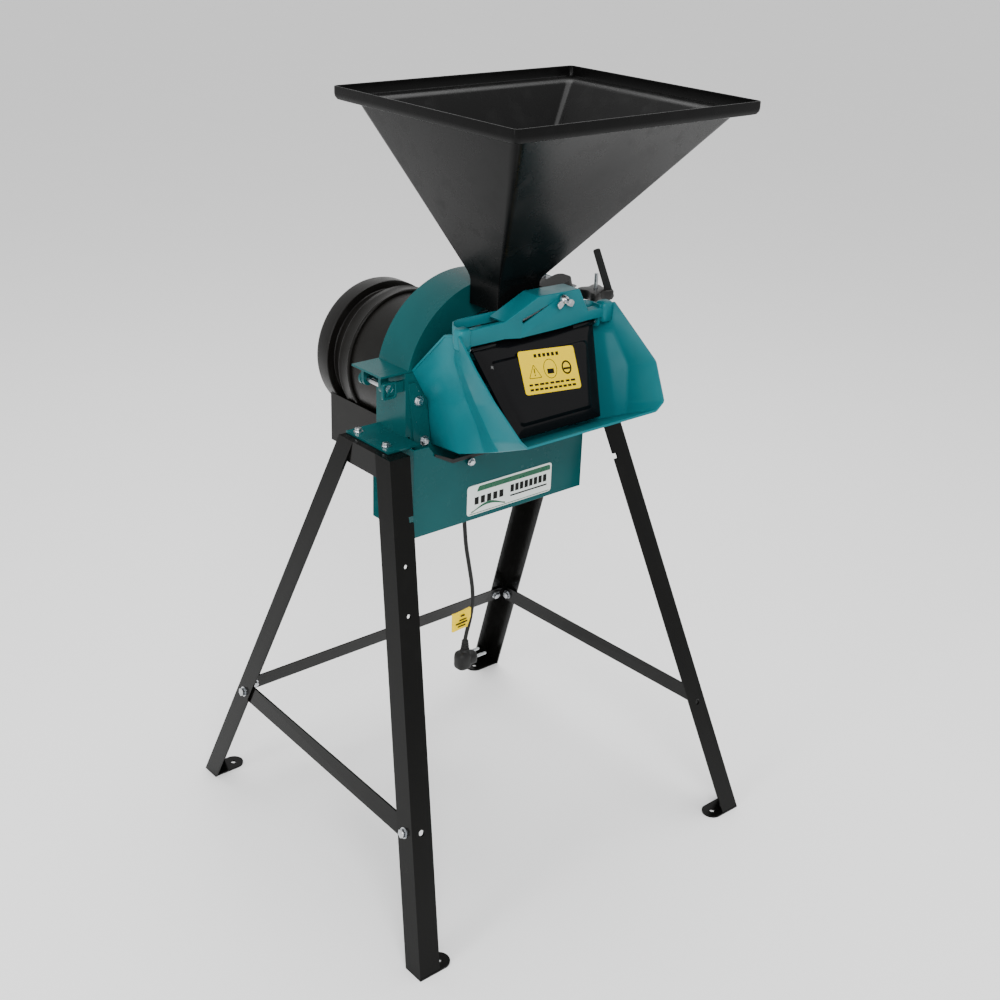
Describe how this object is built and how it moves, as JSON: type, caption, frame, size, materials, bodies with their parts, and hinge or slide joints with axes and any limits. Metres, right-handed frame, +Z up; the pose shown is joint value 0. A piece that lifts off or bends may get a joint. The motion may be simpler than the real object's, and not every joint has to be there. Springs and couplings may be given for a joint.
{
  "type": "hammer mill",
  "caption": "Small electric hammer mill on a splayed angle-iron stand, with a square grain hopper, a hand-fed chute with a safety flap, a hinged drum cover and swinging hammers.",
  "frame": {"origin": "on the floor, under the middle of the bounding box", "axes": "+Z up, the feed chute faces -Y, the motor is at +Y and the drum's hinge is at -X"},
  "size_m": [0.672, 0.64, 1.159],
  "materials": {
    "black_gloss_paint": "gloss black paint",
    "zinc_plate": "bright zinc plating",
    "teal_paint": "teal enamel, half gloss",
    "label_white": "printed film",
    "black_rubber": "moulded rubber",
    "bright_steel": "machined",
    "black_plastic": "moulded, fine grain",
    "flap_black": "gloss",
    "label_yellow": "printed film",
    "hopper_plastic": "moulded, satin",
    "forged_steel": "oiled steel",
    "motor_paint": "satin black paint",
    "capacitor_can": "smooth"
  },
  "bodies": {
    "stand": {"side_frame_left": "black_gloss_paint", "side_frame_right": "black_gloss_paint", "brace_left": "black_gloss_paint", "brace_right": "black_gloss_paint", "brace_rear": "black_gloss_paint", "brace_bolts": "zinc_plate", "lower_housing": "teal_paint", "housing_bolts": "zinc_plate", "skirt": "teal_paint", "skirt_label": "label_white", "edge_trim": "black_rubber", "screen": "bright_steel", "cover_hinge_pin": "zinc_plate", "latch_bracket": "teal_paint", "latch_pin": "zinc_plate", "chute": "teal_paint", "chute_straps": "teal_paint", "strap_bolts": "zinc_plate", "flap_pins": "zinc_plate", "gate_rails": "bright_steel", "gate_cover": "black_plastic", "motor_flange": "motor_paint", "motor_shell": "motor_paint", "motor_band": "motor_paint", "motor_cowl": "motor_paint", "motor_bolts": "zinc_plate", "stator": "forged_steel", "bearings": "bright_steel", "terminal_box": "motor_paint", "capacitor": "capacitor_can", "cord_gland": "black_rubber", "cord": "black_rubber", "plug": "black_rubber", "plug_pins": "bright_steel", "cord_tag": "label_yellow"},
    "cover": {"upper_cover": "teal_paint"},
    "latch": {"latch_bolt": "zinc_plate"},
    "knob": {"latch_knob": "black_plastic"},
    "flap": {"flap": "flap_black", "flap_label": "label_yellow"},
    "gate": {"feed_gate": "bright_steel", "gate_bolt": "zinc_plate"},
    "wing": {"wing_nut": "zinc_plate"},
    "hopper": {"hopper": "hopper_plastic"},
    "rotor": {"rotor_shaft": "bright_steel", "rotor_hub": "forged_steel", "rotor_discs": "forged_steel", "knives": "bright_steel", "knife_bolts": "zinc_plate", "hub_nut": "zinc_plate", "hammer_pins": "bright_steel", "pin_spacers": "forged_steel", "rotor_core": "forged_steel", "cooling_fan": "black_plastic"},
    "hammers_1": {"hammer_1": "forged_steel"},
    "hammers_2": {"hammer_2": "forged_steel"},
    "hammers_3": {"hammer_3": "forged_steel"},
    "hammers_4": {"hammer_4": "forged_steel"},
    "switch": {"rocker_switch": "black_plastic"}
  },
  "joints": [
    {"name": "cover_hinge", "type": "hinge", "parent": "stand", "child": "cover", "pos_m": [-0.175, 0.0095, 0.767], "axis": [0, -1, 0], "range_deg": [0, 75]},
    {"name": "hopper_lift", "type": "slide", "parent": "stand", "child": "hopper", "axis": [0, 0, 1], "range_m": [0, 0.36]},
    {"name": "latch_swing", "type": "hinge", "parent": "stand", "child": "latch", "pos_m": [0.222, -0.018, 0.766], "axis": [0, 1, 0], "range_deg": [0, 95]},
    {"name": "knob_spin", "type": "hinge", "parent": "latch", "child": "knob", "pos_m": [0.222, -0.018, 0.84], "axis": [0, 0, 1], "continuous": true},
    {"name": "flap_hinge", "type": "hinge", "parent": "stand", "child": "flap", "pos_m": [0, -0.125, 0.841], "axis": [-1, 0, 0], "range_deg": [0, 75]},
    {"name": "gate_slide", "type": "slide", "parent": "stand", "child": "gate", "axis": [-0.9563, 0, -0.2924], "range_m": [0, 0.072]},
    {"name": "wing_nut_spin", "type": "hinge", "parent": "gate", "child": "wing", "pos_m": [0.042, -0.141, 0.89], "axis": [0, -1, 0], "continuous": true},
    {"name": "rotor_spin", "type": "hinge", "parent": "stand", "child": "rotor", "pos_m": [0, 0.05, 0.725], "axis": [0, 1, 0], "continuous": true},
    {"name": "switch_rock", "type": "hinge", "parent": "stand", "child": "switch", "pos_m": [-0.039, 0.2425, 0.604], "axis": [1, 0, 0], "range_deg": [-8, 8]},
    {"name": "hammer_1_swing", "type": "hinge", "parent": "rotor", "child": "hammers_1", "pos_m": [0.05303, 0.0005, 0.77803], "axis": [0, 1, 0], "range_deg": [-285, 15]},
    {"name": "hammer_2_swing", "type": "hinge", "parent": "rotor", "child": "hammers_2", "pos_m": [-0.05303, 0.0055, 0.77803], "axis": [0, 1, 0], "range_deg": [-15, 285]},
    {"name": "hammer_3_swing", "type": "hinge", "parent": "rotor", "child": "hammers_3", "pos_m": [-0.05303, 0.0005, 0.67197], "axis": [0, 1, 0], "range_deg": [-105, 195]},
    {"name": "hammer_4_swing", "type": "hinge", "parent": "rotor", "child": "hammers_4", "pos_m": [0.05303, 0.0055, 0.67197], "axis": [0, 1, 0], "range_deg": [-195, 105]}
  ],
  "couplings": [
    {"joint": "hopper_lift", "follows": "cover_hinge", "m_per_rad": 0.26}
  ]
}
